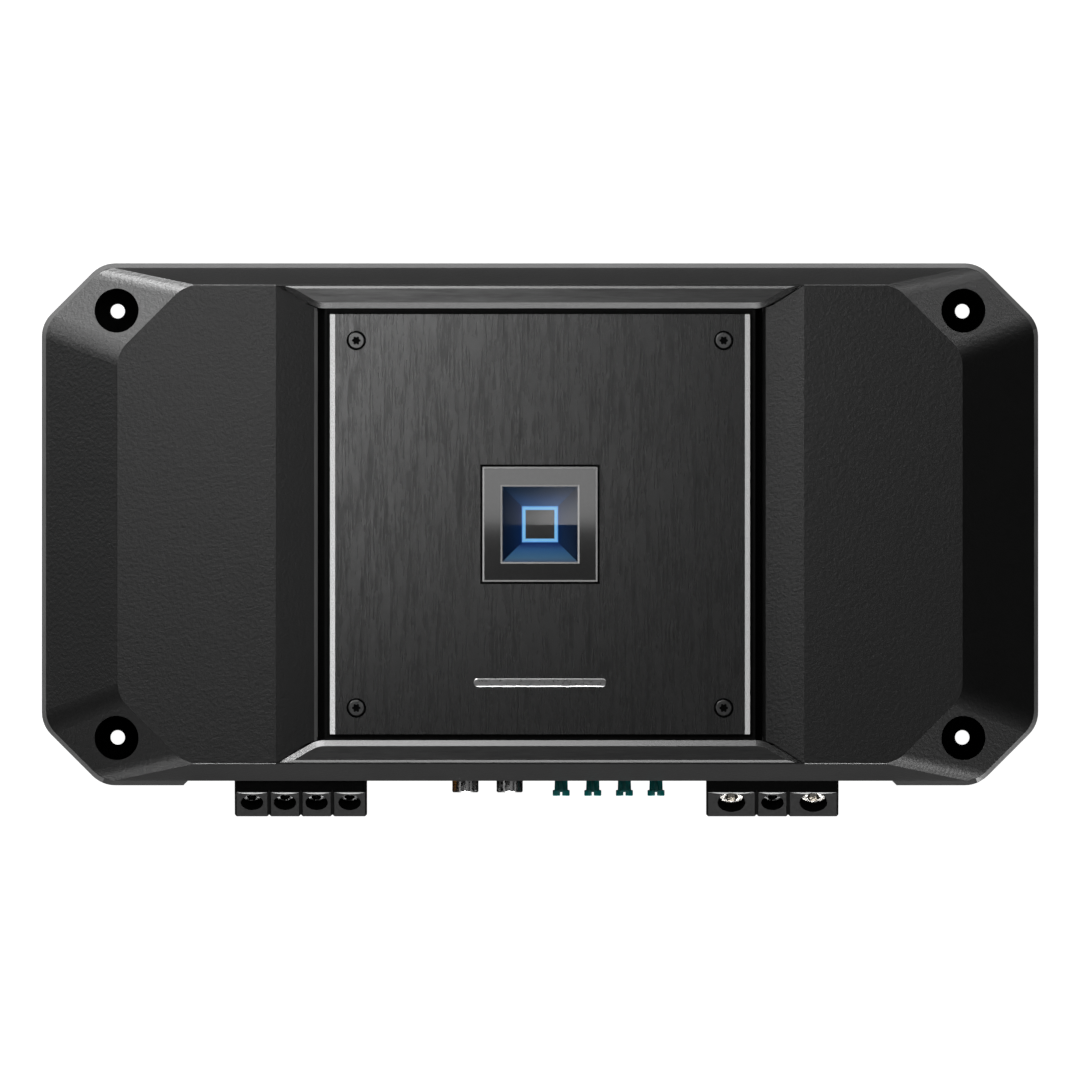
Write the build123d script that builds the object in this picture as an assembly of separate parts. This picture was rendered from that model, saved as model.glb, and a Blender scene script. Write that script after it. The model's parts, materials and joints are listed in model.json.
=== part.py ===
from build123d import *
import math
import os

# Mono car amplifier. Millimetres, +Z up, +Y towards the rear. The origin is on the surface that the
# amplifier is screwed to, in the middle of its four mounting holes.

# --- casting outline ---
HALF_X = 157.8
HALF_Y = 82.7
CORNER_CUT = 19.05
CORNER_R = 10.0
RIM_Z = 31.9
RIM_DRAFT = 0.3
SHOULDER_Z = 33.2
SHOULDER_INSET = 1.6
TOP_Z = 51.5
WING_OUT_X = 133.4
WING_IN_X = 83.4
WING_Y = 75.6
WING_CUT = 21.4
WALL_CREASE = 3.1
CREASE_R = 0.7
WALL = 3.0
ROOF_Z = 39.0
ROOF_X = 87.0

# --- sunk middle of the casting ---
SLOPE_FOOT_X = 71.3
SLOPE_FOOT_Z = 49.3
GROOVE_X = 70.2
GROOVE_TOP_Z = 48.2
GROOVE_FLOOR_Z = 43.0
ISLAND_HALF = 64.0
ISLAND_Z = 46.0

# --- mounting holes ---
MOUNT_X = 133.75
MOUNT_Y = 67.5
MOUNT_HOLE_R = 2.3
MOUNT_WELL_R = 7.0
MOUNT_FLOOR = 5.0
MOUNT_BOSS_R = 10.0

# --- bright bevels: every one leans 26 degrees out of the level ---
BEVEL_TILT = 26
BEVEL_FALL = math.tan(math.radians(BEVEL_TILT))

# --- trim bars ---
BAR_OUT_Y = 75.2
BAR_IN_Y = 68.2
BAR_OUT_X = 82.7
BAR_IN_X = 70.5
BAR_Z = 48.0
BAR_TOP_Z = 51.6
BAR_OUT_BEVEL = 0.75
BAR_IN_BEVEL = 1.8
BAR_BEND_R = 9.0
BAR_LIP_Z = 50.9
BAR_END_GAP = 1.6
BAR_SCREW_X = 50.0
BAR_SCREW_Y = 70.5

# --- faceplate and its carrier ---
CARRIER_HALF = 68.0
CARRIER_RIM = 0.8
CARRIER_RIM_Z = 50.2
PLATE_HALF = 66.3
PLATE_Z = 49.0
PLATE_TOP_Z = 52.0
PLATE_BEVEL = 1.6
PLATE_SCREW = 58.0
PLATE_RECESS_R = 3.1
PLATE_RECESS_Z = 50.0

# --- centre badge, all parts square in plan ---
BEZEL_HALF = 18.15
BEZEL_TOP_Z = 52.15
BEZEL_OPENING = 11.9
BEZEL_BEVEL = 0.55
BADGE_HOLE = 18.85
LENS_HALF = 13.0
LENS_Z = 49.7
LENS_TOP_Z = 50.9
WINDOW_HALF = 13.2
BADGE_WELL = 14.0
LED_BOARD_Z = 41.0
REFLECTOR_Z = 42.2
FUNNEL_FOOT = 5.75
FUNNEL_FOOT_Z = 45.5
GUIDE_HALF = 5.65
GUIDE_FLANGE = 6.5
GUIDE_Z = 43.5
GUIDE_TOP_Z = 45.9
CAP_HALF = 4.5

# --- name badge, left blank ---
NAME_HALF_X = 21.0
NAME_HALF_Y = 1.3
NAME_Y = -50.0

# --- base plate ---
BASE_Z = 0.4
BASE_TOP_Z = 2.0
BASE_INSET = 1.8

# --- front panel ---
NOTCH_HALF = 111.3
NOTCH_Y = -73.9
PANEL_HALF = 111.0
PANEL_FRONT = -75.5
PANEL_BACK = -74.0
PANEL_Z = 2.1
PANEL_TOP_Z = 33.1
PANEL_SCREW_X = 106.0
PANEL_SCREW_Z = (8.0, 28.0)

# --- circuit boards ---
BOARD_Z = 6.0
BOARD_TOP_Z = 7.6
BOARD_HALF_X = 118.5
BOARD_FRONT = -73.6
BOARD_REAR = 66.0
PILLARS = [(-108, 58), (108, 58), (0, 58), (-92, -45), (92, -45), (0, -35)]
PILLAR_R = 3.5
CONTROL_BACK = -64.4
CONTROL_FRONT = -66.0

# --- terminals: the sloped face leans back between its top and its front edge ---
TERMINAL_BACK = -66.0
TERMINAL_FRONT = -92.4
TERMINAL_EDGE = -84.8
TERMINAL_Z = 7.6
TERMINAL_TOP_Z = 30.0
TERMINAL_FRONT_Z = 21.7
TERMINAL_HALF = 20.9
SPEAKER_X = -75.65
POWER_X = 73.5
CELL_GROOVE = 0.6
CLAMP_SCREW_LENGTH = 6.0
CLAMP_SCREW_DEPTH = 2.4

# --- sockets and controls along the panel ---
RCA_X = (-23.6, -9.6)
RCA_Z = 22.0
RCA_SHELL_R = 4.15
RCA_NECK_R = 3.95
RCA_BORE_R = 2.0
RCA_END = -84.8
KNOB_X = {"gain_knob": 6.7, "crossover_knob": 16.7, "subsonic_knob": 26.7, "bass_eq_knob": 36.7}
KNOB_Z = 25.0
KNOB_END = 85.9
SWITCH_X = {"filter_switch_slider": 11.7, "input_switch_slider": 31.7}
SWITCH_Z = 12.0
REMOTE_PORT_X = -16.6
PORT_HALF = 6.2
PORT_TOP_Z = 15.2
FUSE_X = -42.7
BLADE_PITCH = 12.4
FUSE_Z = {"lower_fuse": 12.0, "upper_fuse": 23.0}
STATUS_X = 46.0
STATUS_Z = (17.0, 25.0)

# --- power stage ---
RAIL_X = 120.0
TRANSISTOR_Y = [-45, -27, -9, 9, 27, 45]
CLAMP_SCREW_Y = [-36, 0, 36]

# --- screws: shank radius, tapped hole radius, clearance hole radius, head radius ---
M3_R = 1.5
M3_TAPPED_R = 1.52
M3_CLEAR_R = 1.6
M3_HEAD_R = 2.75
M25_R = 1.25
M25_CLEAR_R = 1.4


def block(x0, x1, y0, y1, z0, z1):
    """Box between two corners."""
    middle = Pos((x0 + x1) / 2, (y0 + y1) / 2, (z0 + z1) / 2)
    return middle * Box(x1 - x0, y1 - y0, z1 - z0)


def square(half, z0, z1):
    """Square block centred on the Z axis."""
    return block(-half, half, -half, half, z0, z1)


def rod_x(x0, x1, y, z, r):
    return Pos((x0 + x1) / 2, y, z) * Rot(0, 90, 0) * Cylinder(r, x1 - x0)


def rod_y(x, y0, y1, z, r):
    return Pos(x, (y0 + y1) / 2, z) * Rot(90, 0, 0) * Cylinder(r, y1 - y0)


def rod_z(x, y, z0, z1, r):
    return Pos(x, y, (z0 + z1) / 2) * Cylinder(r, z1 - z0)


def corners(x, y):
    """The four places that mirror one another about the middle planes."""
    return [(-x, -y), (x, -y), (-x, y), (x, y)]


def octagon(half_x, half_y, cut, r, z):
    """Rectangle with 45-degree corners, every bend rounded, lying at height z."""
    points = [
        (half_x, half_y - cut),
        (half_x - cut, half_y),
        (cut - half_x, half_y),
        (-half_x, half_y - cut),
        (-half_x, cut - half_y),
        (cut - half_x, -half_y),
        (half_x - cut, -half_y),
        (half_x, cut - half_y),
    ]
    outline = Polygon(*points, align=None)
    return Pos(0, 0, z) * fillet(outline.vertices(), r)


def facet_outline(half_x, half_y, cut, r, z):
    """Octagon whose corners meet the front and rear walls in a crease, after a last short 18-degree run."""
    tuck = WALL_CREASE * math.sin(math.radians(18)) / math.sin(math.radians(27)) / math.sqrt(2)
    bend_x = half_x - cut
    creased = [(bend_x + tuck, half_y - tuck), (bend_x - WALL_CREASE, half_y)]
    quarter = [(half_x, half_y - cut), *creased]
    points = quarter + [(-x, y) for x, y in reversed(quarter)]
    points += [(-x, -y) for x, y in quarter] + [(x, -y) for x, y in reversed(quarter)]
    outline = Polygon(*points, align=None)
    rounded = [v for v in outline.vertices() if abs(v.Y) < half_y - tuck / 2]
    return Pos(0, 0, z) * fillet(rounded, r)


def inset_octagon(inset, r, z):
    """The casting's outline, moved inwards by the same distance all round."""
    return octagon(HALF_X - inset, HALF_Y - inset, CORNER_CUT - (2 - math.sqrt(2)) * inset, r, z)


def save(name, *pieces):
    """Write one node: a single solid, or a group of identical or related solids."""
    solids = [solid for piece in pieces for solid in piece.solids()]
    node = solids[0] if len(solids) == 1 else Compound(children=solids)
    export_step(node, f"parts/{name}.step")


# ---------------------------------------------------------------- casting


def casting_outside():
    skirt = loft([inset_octagon(0, CORNER_R, 0), inset_octagon(RIM_DRAFT, CORNER_R, RIM_Z)], ruled=True)
    shoulder = inset_octagon(SHOULDER_INSET, CORNER_R, SHOULDER_Z)
    rim = loft([inset_octagon(RIM_DRAFT, CORNER_R, RIM_Z), shoulder], ruled=True)
    foot_cut = CORNER_CUT - (2 - math.sqrt(2)) * SHOULDER_INSET
    foot = facet_outline(HALF_X - SHOULDER_INSET, HALF_Y - SHOULDER_INSET, foot_cut, CORNER_R, SHOULDER_Z)
    top = facet_outline(WING_OUT_X, WING_Y, WING_CUT, CORNER_R, TOP_Z)
    facets = loft([foot, top], ruled=True)
    ridges = facets.faces().sort_by(Axis.Z)[-1].edges().filter_by(Axis.X)
    return skirt + rim + fillet(ridges, CREASE_R)


def facet_width(low, high):
    """Level thickness of a leaning wall that is WALL thick square to its own face."""
    rise = TOP_Z - SHOULDER_Z
    return WALL * math.hypot(low - high, rise) / rise


def casting_void():
    """The space inside the walls, before bosses, rails and the front wall are left standing in it."""
    shoulder_x = HALF_X - SHOULDER_INSET
    shoulder_y = HALF_Y - SHOULDER_INSET
    ceiling_z = TOP_Z - 3.7
    climb = (ceiling_z - SHOULDER_Z) / (TOP_Z - SHOULDER_Z)
    side_x = shoulder_x + climb * (WING_OUT_X - shoulder_x) - facet_width(shoulder_x, WING_OUT_X)
    side_y = shoulder_y + climb * (WING_Y - shoulder_y) - facet_width(shoulder_y, WING_Y)
    inside_r = CORNER_R - 2
    wall_top = inset_octagon(WALL + RIM_DRAFT, inside_r, SHOULDER_Z - 2.6)
    wall_foot = inset_octagon(WALL + RIM_DRAFT, inside_r, -1)
    ceiling = octagon(side_x, side_y, WING_CUT - 1.8, inside_r, ceiling_z)
    return loft([wall_foot, wall_top], ruled=True) + loft([wall_top, ceiling], ruled=True)


def base_screw_places():
    return corners(150.5, 35) + [(-60, 75.5), (60, 75.5), (-117, -72), (117, -72)]


def casting_inside_metal():
    """Roof, front wall, bosses, pillars and heat rails that stand inside the walls."""
    metal = [block(-ROOF_X, ROOF_X, -90, 90, ROOF_Z, 60)]
    cheek = NOTCH_HALF + WALL
    metal.append(block(-cheek, cheek, -90, -73, SHOULDER_Z, 60))
    for side in (-1, 1):
        low, high = sorted((side * NOTCH_HALF, side * cheek))
        metal.append(block(low, high, -90, -64, BASE_TOP_Z, 60))
        low, high = sorted((side * (PANEL_SCREW_X - 6), side * cheek))
        metal.append(block(low, high, NOTCH_Y, -64, BASE_TOP_Z + 0.1, 60))
        low, high = sorted((side * RAIL_X, side * (RAIL_X + 6)))
        metal.append(block(low, high, -55, 55, 12, 60))
    metal += [rod_z(x, y, -1, 60, MOUNT_BOSS_R) for x, y in corners(MOUNT_X, MOUNT_Y)]
    metal += [rod_z(x, y, BASE_TOP_Z + 0.05, 60, PILLAR_R) for x, y in base_screw_places()]
    metal += [rod_z(x, y, BOARD_TOP_Z, 60, PILLAR_R) for x, y in PILLARS]
    return metal


def front_notch():
    """Opening in the front wall, with its two ends splayed at 45 degrees past the rim."""
    lip = HALF_Y - SHOULDER_INSET - 0.1
    flare = HALF_Y - lip + 5
    plan = Polygon(
        (-NOTCH_HALF, NOTCH_Y),
        (-NOTCH_HALF, -lip),
        (-NOTCH_HALF - flare, -lip - flare),
        (NOTCH_HALF + flare, -lip - flare),
        (NOTCH_HALF, -lip),
        (NOTCH_HALF, NOTCH_Y),
        align=None,
    )
    return extrude(Pos(0, 0, -1) * plan, SHOULDER_Z + 1)


def bar_plan(out_y, end_x, in_x=BAR_IN_X):
    """Plan of the rear trim bar: straight edges, diagonal ends and rounded inner bends."""
    points = [(end_x, out_y), (-end_x, out_y), (-in_x, BAR_IN_Y), (in_x, BAR_IN_Y)]
    plan = Polygon(*points, align=None)
    return fillet(plan.vertices().sort_by(Axis.Y)[:2], BAR_BEND_R)


def sunk_middle():
    """Shallow slopes beside the faceplate, the bars' seats and the deep groove round the island."""
    reach = BAR_OUT_Y + 0.05
    section = Polygon(
        (-WING_IN_X, TOP_Z + 10),
        (-WING_IN_X, TOP_Z),
        (-SLOPE_FOOT_X, SLOPE_FOOT_Z),
        (-GROOVE_X, GROOVE_TOP_Z),
        (GROOVE_X, GROOVE_TOP_Z),
        (SLOPE_FOOT_X, SLOPE_FOOT_Z),
        (WING_IN_X, TOP_Z),
        (WING_IN_X, TOP_Z + 10),
        align=None,
    )
    slopes = extrude(Plane.XZ * section, reach, both=True)
    seat = extrude(Pos(0, 0, BAR_Z) * bar_plan(reach, BAR_OUT_X + 0.4, BAR_IN_X + BAR_END_GAP), 12)
    seat += block(-BAR_IN_X, BAR_IN_X, BAR_IN_Y - 1, BAR_IN_Y + 1, BAR_Z, BAR_Z + 12)
    groove = block(-GROOVE_X, GROOVE_X, -BAR_IN_Y, BAR_IN_Y, GROOVE_FLOOR_Z, 60)
    groove -= square(ISLAND_HALF, GROOVE_FLOOR_Z - 1, ISLAND_Z)
    cuts = [slopes, seat, seat.mirror(Plane.XZ), groove]
    for side in (-1, 1):
        low, high = sorted((side * reach, side * 90))
        cuts.append(block(-WING_IN_X, WING_IN_X, low, high, BAR_LIP_Z, 60))
    return cuts


def casting_holes():
    holes = []
    for x, y in corners(MOUNT_X, MOUNT_Y):
        holes.append(rod_z(x, y, MOUNT_FLOOR, 60, MOUNT_WELL_R))
        holes.append(rod_z(x, y, -1, MOUNT_FLOOR + 1, MOUNT_HOLE_R))
    holes += [rod_z(x, y, 0, 12, M3_TAPPED_R) for x, y in base_screw_places()]
    holes += [rod_z(x, y, BOARD_Z, 17, M3_TAPPED_R) for x, y in PILLARS]
    plate_screws = corners(PLATE_SCREW, PLATE_SCREW)
    holes += [rod_z(x, y, ROOF_Z - 1, ISLAND_Z + 1, M3_TAPPED_R) for x, y in plate_screws]
    holes += [rod_z(x, y, ROOF_Z - 1, BAR_Z + 1, M25_CLEAR_R) for x, y in corners(BAR_SCREW_X, BAR_SCREW_Y)]
    for side in (-1, 1):
        for z in PANEL_SCREW_Z:
            holes.append(rod_y(side * PANEL_SCREW_X, NOTCH_Y - 1, -64.9, z, M3_TAPPED_R))
        for y in CLAMP_SCREW_Y:
            low, high = sorted((side * (RAIL_X - 1), side * (RAIL_X + 5)))
            holes.append(rod_x(low, high, y, 16.5, M3_TAPPED_R))
    holes.append(square(BADGE_WELL, LED_BOARD_Z, ISLAND_Z + 1))
    holes.append(square(BADGE_WELL - 3, ROOF_Z - 1, LED_BOARD_Z + 1))
    return holes


def heatsink_cover():
    cover = casting_outside()
    cover -= casting_void() - casting_inside_metal()
    rebate = Pos(0, 0, -1) * extrude(inset_octagon(BASE_INSET - 0.2, CORNER_R - 1.5, 0), BASE_TOP_Z + 1.05)
    cover -= rebate - [rod_z(x, y, -2, 3, MOUNT_BOSS_R) for x, y in corners(MOUNT_X, MOUNT_Y)]
    cover -= front_notch()
    cover -= sunk_middle()
    cover -= casting_holes()
    return cover


def base_plate():
    plate = Pos(0, 0, BASE_Z) * extrude(inset_octagon(BASE_INSET, CORNER_R - 1.7, 0), BASE_TOP_Z - BASE_Z)
    plate -= [rod_z(x, y, -1, 3, MOUNT_BOSS_R + 0.3) for x, y in corners(MOUNT_X, MOUNT_Y)]
    for x, y in base_screw_places():
        plate -= rod_z(x, y, -1, 3, M3_CLEAR_R)
        plate -= Pos(x, y, 1.2) * Cone(3.1, 1.5, 1.6)
    return plate


def base_plate_screws():
    screws = []
    for x, y in base_screw_places():
        head = Pos(x, y, 1.15) * Cone(2.95, 1.45, 1.5)
        drive = rod_z(x, y, 0.4, 1.3, 0.9)
        screws.append(head + rod_z(x, y, 1, 10, M3_R) - drive)
    return screws


# ---------------------------------------------------------------- top trim


def bevel(edges, width, top):
    """Shallow bright bevel, its width measured on the level face that it is cut from."""
    return chamfer(edges, width, width * BEVEL_FALL, reference=top)


def rear_trim_bar():
    """Bar with a fine outer bevel and a broad bevel along its inner edge and diagonal ends."""
    plan = bar_plan(BAR_OUT_Y, BAR_OUT_X)
    fall = BAR_IN_BEVEL * BEVEL_FALL
    bevel_z = BAR_TOP_Z - fall
    spare = BAR_IN_BEVEL - BAR_OUT_BEVEL
    end_slope = (BAR_OUT_X - BAR_IN_X) / (BAR_OUT_Y - BAR_IN_Y)
    wide_plan = bar_plan(BAR_OUT_Y + spare, BAR_OUT_X + spare * end_slope)
    tapered = extrude(Pos(0, 0, bevel_z) * wide_plan, fall, taper=90 - BEVEL_TILT)
    upper = tapered & extrude(Pos(0, 0, bevel_z) * plan, fall)
    bar = extrude(Pos(0, 0, BAR_Z) * plan, bevel_z - BAR_Z) + upper
    for side in (-1, 1):
        bar -= rod_z(side * BAR_SCREW_X, BAR_SCREW_Y, BAR_Z - 1, 50.1, M25_R + 0.02)
    return bar


def trim_bar_screws():
    screws = []
    for x, y in corners(BAR_SCREW_X, BAR_SCREW_Y):
        head = rod_z(x, y, ROOF_Z - 2, ROOF_Z, 2.25) - rod_z(x, y, ROOF_Z - 2, ROOF_Z - 0.8, 1.1)
        screws.append(head + rod_z(x, y, ROOF_Z - 0.5, 49.9, M25_R))
    return screws


def faceplate_carrier():
    carrier = square(CARRIER_HALF, ISLAND_Z, CARRIER_RIM_Z)
    carrier -= square(CARRIER_HALF - CARRIER_RIM, PLATE_Z, CARRIER_RIM_Z + 1)
    carrier -= square(WINDOW_HALF, ISLAND_Z - 1, PLATE_Z + 1)
    for x, y in corners(PLATE_SCREW, PLATE_SCREW):
        carrier -= rod_z(x, y, ISLAND_Z - 1, PLATE_Z + 1, M3_CLEAR_R)
    return carrier


def faceplate():
    plate = square(PLATE_HALF, PLATE_Z, PLATE_TOP_Z)
    top = plate.faces().sort_by(Axis.Z)[-1]
    plate = bevel(top.edges().filter_by(Axis.Y), PLATE_BEVEL, top)
    plate -= square(BADGE_HOLE, PLATE_Z - 1, PLATE_TOP_Z + 1)
    for x, y in corners(PLATE_SCREW, PLATE_SCREW):
        plate -= rod_z(x, y, PLATE_RECESS_Z, PLATE_TOP_Z + 1, PLATE_RECESS_R)
        plate -= rod_z(x, y, PLATE_Z - 1, PLATE_TOP_Z, M3_CLEAR_R)
    seat = Pos(0, NAME_Y, 51.6) * extrude(SlotOverall(2 * NAME_HALF_X + 0.3, 2 * NAME_HALF_Y + 0.3), 1)
    return plate - seat


def faceplate_screws():
    """Button-head screws with a six-lobed socket."""
    screws = []
    for x, y in corners(PLATE_SCREW, PLATE_SCREW):
        head = rod_z(x, y, PLATE_RECESS_Z, PLATE_RECESS_Z + 1.85, M3_HEAD_R)
        head = fillet(head.edges().sort_by(Axis.Z)[-1], 0.5)
        socket = [rod_z(x, y, PLATE_RECESS_Z + 0.5, PLATE_TOP_Z, 1.02)]
        for lobe in range(6):
            angle = math.radians(60 * lobe)
            at_x = x + 1.02 * math.cos(angle)
            at_y = y + 1.02 * math.sin(angle)
            socket.append(rod_z(at_x, at_y, PLATE_RECESS_Z + 0.5, PLATE_TOP_Z, 0.38))
        shank = rod_z(x, y, ROOF_Z + 1, PLATE_RECESS_Z + 0.2, M3_R)
        screws.append(head + shank - socket)
    return screws


def name_badge():
    badge = Pos(0, NAME_Y, 51.6) * extrude(SlotOverall(2 * NAME_HALF_X, 2 * NAME_HALF_Y), 0.55)
    return chamfer(badge.faces().sort_by(Axis.Z)[-1].edges(), 0.2)


# ---------------------------------------------------------------- lit badge


def badge_bezel():
    bezel = square(BEZEL_HALF, PLATE_Z, BEZEL_TOP_Z) - square(BEZEL_OPENING, PLATE_Z - 1, BEZEL_TOP_Z + 1)
    top = bezel.faces().sort_by(Axis.Z)[-1]
    bezel = bevel(top.edges(), BEZEL_BEVEL, top)
    return bezel - square(LENS_HALF + 0.1, PLATE_Z - 1, LENS_TOP_Z)


def badge_lens():
    return square(LENS_HALF, LENS_Z, LENS_TOP_Z)


def light_reflector():
    """Four-sided funnel that throws the light up from a central window."""
    body = square(LENS_HALF, REFLECTOR_Z, LENS_Z)
    mouth = Pos(0, 0, LENS_Z) * Rectangle(2 * BEZEL_OPENING, 2 * BEZEL_OPENING)
    foot = Pos(0, 0, FUNNEL_FOOT_Z) * Rectangle(2 * FUNNEL_FOOT, 2 * FUNNEL_FOOT)
    body -= loft([foot, mouth], ruled=True)
    body -= square(FUNNEL_FOOT, GUIDE_Z, FUNNEL_FOOT_Z + 0.1)
    body -= square(GUIDE_FLANGE + 0.1, REFLECTOR_Z, GUIDE_Z + 0.9)
    return body - square(LENS_HALF - 2, REFLECTOR_Z - 1, GUIDE_Z)


def light_guide():
    guide = square(GUIDE_HALF, GUIDE_Z, GUIDE_TOP_Z) + square(GUIDE_FLANGE, GUIDE_Z, GUIDE_Z + 0.8)
    return guide - square(CAP_HALF + 0.05, GUIDE_TOP_Z - 0.4, GUIDE_TOP_Z + 1)


def led_board():
    return square(LENS_HALF, LED_BOARD_Z, REFLECTOR_Z)


def led_chips():
    chip = block(-1.5, 1.5, -1.5, 1.5, REFLECTOR_Z, GUIDE_Z - 0.3)
    return [Pos(x, y, 0) * chip for x, y in corners(4.6, 4.6)]


# ---------------------------------------------------------------- front panel


def end_panel():
    panel = block(-PANEL_HALF, PANEL_HALF, PANEL_FRONT, PANEL_BACK, PANEL_Z, PANEL_TOP_Z)

    def window(x, half_x, z0, z1):
        return block(x - half_x, x + half_x, PANEL_FRONT - 1, PANEL_BACK + 1, z0, z1)

    def hole(x, z, r):
        return rod_y(x, PANEL_FRONT - 1, PANEL_BACK + 1, z, r)

    low, high = TERMINAL_Z - 0.2, TERMINAL_TOP_Z + 0.2
    cuts = [window(x, TERMINAL_HALF + 0.2, low, high) for x in (SPEAKER_X, POWER_X)]
    cuts.append(window(FUSE_X, 11.0, TERMINAL_Z - 0.1, 27.4))
    cuts.append(window(REMOTE_PORT_X, PORT_HALF + 0.1, PANEL_Z - 1, PORT_TOP_Z + 0.1))
    cuts += [window(x, 3.6, SWITCH_Z - 1.5, SWITCH_Z + 1.5) for x in SWITCH_X.values()]
    cuts += [hole(x, RCA_Z, RCA_NECK_R + 0.1) for x in RCA_X]
    cuts += [hole(x, KNOB_Z, 2.4) for x in KNOB_X.values()]
    cuts += [hole(STATUS_X, z, 1.55) for z in STATUS_Z]
    cuts += [hole(side * PANEL_SCREW_X, z, M3_CLEAR_R) for side in (-1, 1) for z in PANEL_SCREW_Z]
    return panel - cuts


def end_panel_screws():
    screws = []
    for side in (-1, 1):
        x = side * PANEL_SCREW_X
        for z in PANEL_SCREW_Z:
            head = rod_y(x, PANEL_FRONT - 1.8, PANEL_FRONT, z, M3_HEAD_R)
            head = fillet(head.edges().sort_by(Axis.Y)[0], 0.6)
            head -= block(x - 2.2, x + 2.2, PANEL_FRONT - 3, PANEL_FRONT - 1, z - 0.35, z + 0.35)
            head -= block(x - 0.35, x + 0.35, PANEL_FRONT - 3, PANEL_FRONT - 1, z - 2.2, z + 2.2)
            screws.append(head + rod_y(x, PANEL_FRONT - 0.3, -66, z, M3_R))
    return screws


# ---------------------------------------------------------------- screw terminals


class Cell:
    """One clamp of a terminal block: its place, cage, wire entry and screw."""

    def __init__(self, x, half_width, big):
        self.x = x
        self.half_width = half_width
        self.cage_half = 6.2 if big else 4.2
        self.entry_half = 4.9 if big else 3.2
        self.entry_z = (9.4, 17.8) if big else (9.9, 16.9)
        self.access_r = 4.4 if big else 3.55
        self.screw_r = 4.0 if big else 3.0


SPEAKER_CELLS = {
    f"speaker_screw_{number}": Cell(SPEAKER_X + pitch, half, False)
    for number, (pitch, half) in enumerate([(-15.45, 5.45), (-5, 5), (5, 5), (15.45, 5.45)], start=1)
}
POWER_CELLS = {
    "ground_screw": Cell(POWER_X - 12.95, 7.95, True),
    "remote_screw": Cell(POWER_X, 5, False),
    "battery_screw": Cell(POWER_X + 12.95, 7.95, True),
}


def slope_plane(x):
    """Plane on the sloped face in front of one cell, its normal pointing out along the screw."""
    rise = TERMINAL_TOP_Z - TERMINAL_FRONT_Z
    run = TERMINAL_EDGE - TERMINAL_FRONT
    middle_y = TERMINAL_EDGE - 3.2
    middle_z = TERMINAL_TOP_Z - 3.2 * rise / run
    return Plane(origin=(x, middle_y, middle_z), x_dir=(1, 0, 0), z_dir=(0, -rise, run))


def along_screw(x, depth0, depth1, r):
    """Cylinder on a cell's screw axis between two depths under the sloped face."""
    return slope_plane(x) * Pos(0, 0, -(depth0 + depth1) / 2) * Cylinder(r, depth1 - depth0)


def side_prism(points, x0, x1):
    """Outline in the YZ plane, carried along X."""
    return extrude(Plane.YZ * Pos(0, 0, x0) * Polygon(*points, align=None), x1 - x0, dir=(1, 0, 0))


def cage_outline(gap):
    """Side outline of a brass cage, or of the space for it when gap is added all round."""
    return [
        (-88.4 - gap, 8.3 - gap),
        (-88.4 - gap, 20.5 + gap / 2),
        (-84.2 - gap / 2, 25.0 + gap),
        (-70.0, 25.0 + gap),
        (-70.0, 8.3 - gap),
    ]


def terminal_housing(cells):
    """Moulded block: one grooved slab for each cell, with room for its cage behind the sloped face."""
    outline = [
        (TERMINAL_BACK, TERMINAL_Z),
        (TERMINAL_BACK, TERMINAL_TOP_Z),
        (TERMINAL_EDGE, TERMINAL_TOP_Z),
        (TERMINAL_FRONT, TERMINAL_FRONT_Z),
        (TERMINAL_FRONT, TERMINAL_Z),
    ]
    slabs = []
    for cell in cells:
        slab = side_prism(outline, cell.x - cell.half_width, cell.x + cell.half_width)
        side_edges = slab.edges().filter_by(Plane.YZ)
        middles = [(edge, edge.center()) for edge in side_edges]
        front_edges = [edge for edge, middle in middles if middle.Y < TERMINAL_EDGE and middle.Z > 8]
        slabs.append(chamfer(front_edges, CELL_GROOVE))
    housing = slabs[0] + slabs[1:]
    for cell in cells:
        cavity = cage_outline(0.1)
        cavity[3:] = [(TERMINAL_BACK + 1, 25.1), (TERMINAL_BACK + 1, 8.2)]
        housing -= side_prism(cavity, cell.x - cell.cage_half - 0.1, cell.x + cell.cage_half + 0.1)
        z0, z1 = cell.entry_z
        housing -= block(cell.x - cell.entry_half, cell.x + cell.entry_half, -94, -88, z0, z1)
        housing -= along_screw(cell.x, -2, 5, cell.access_r)
        housing -= along_screw(cell.x, 4, 16.5, cell.screw_r + 0.1)
        housing -= block(cell.x - 2.3, cell.x + 2.3, -70.3, TERMINAL_BACK + 1, 7, 9)
    return housing


def terminal_clamps(cells):
    """Brass cages: a wire chamber, a threaded bore on the screw axis and a tail through the board."""
    clamps = []
    for cell in cells:
        cage = side_prism(cage_outline(0), cell.x - cell.cage_half, cell.x + cell.cage_half)
        z0, z1 = cell.entry_z
        cage -= block(cell.x - cell.entry_half, cell.x + cell.entry_half, -90, -71.5, z0, z1)
        cage -= along_screw(cell.x, 0, 16.5, cell.screw_r + 0.05)
        cage += block(cell.x - 2, cell.x + 2, -70.1, -69, 4.6, 12)
        clamps.append(cage)
    return clamps


def clamp_screw(cell):
    """Socket set screw, shown half way out so that a wire can be pushed in under it."""
    depth = CLAMP_SCREW_DEPTH
    screw = along_screw(cell.x, depth, depth + CLAMP_SCREW_LENGTH, cell.screw_r)
    screw = chamfer(screw.edges().filter_by(GeomType.CIRCLE), 0.4)
    key = extrude(RegularPolygon(cell.screw_r * 0.55, 6), 3)
    return screw - slope_plane(cell.x) * Pos(0, 0, -depth - 2.6) * key


# ---------------------------------------------------------------- sockets and controls


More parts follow.
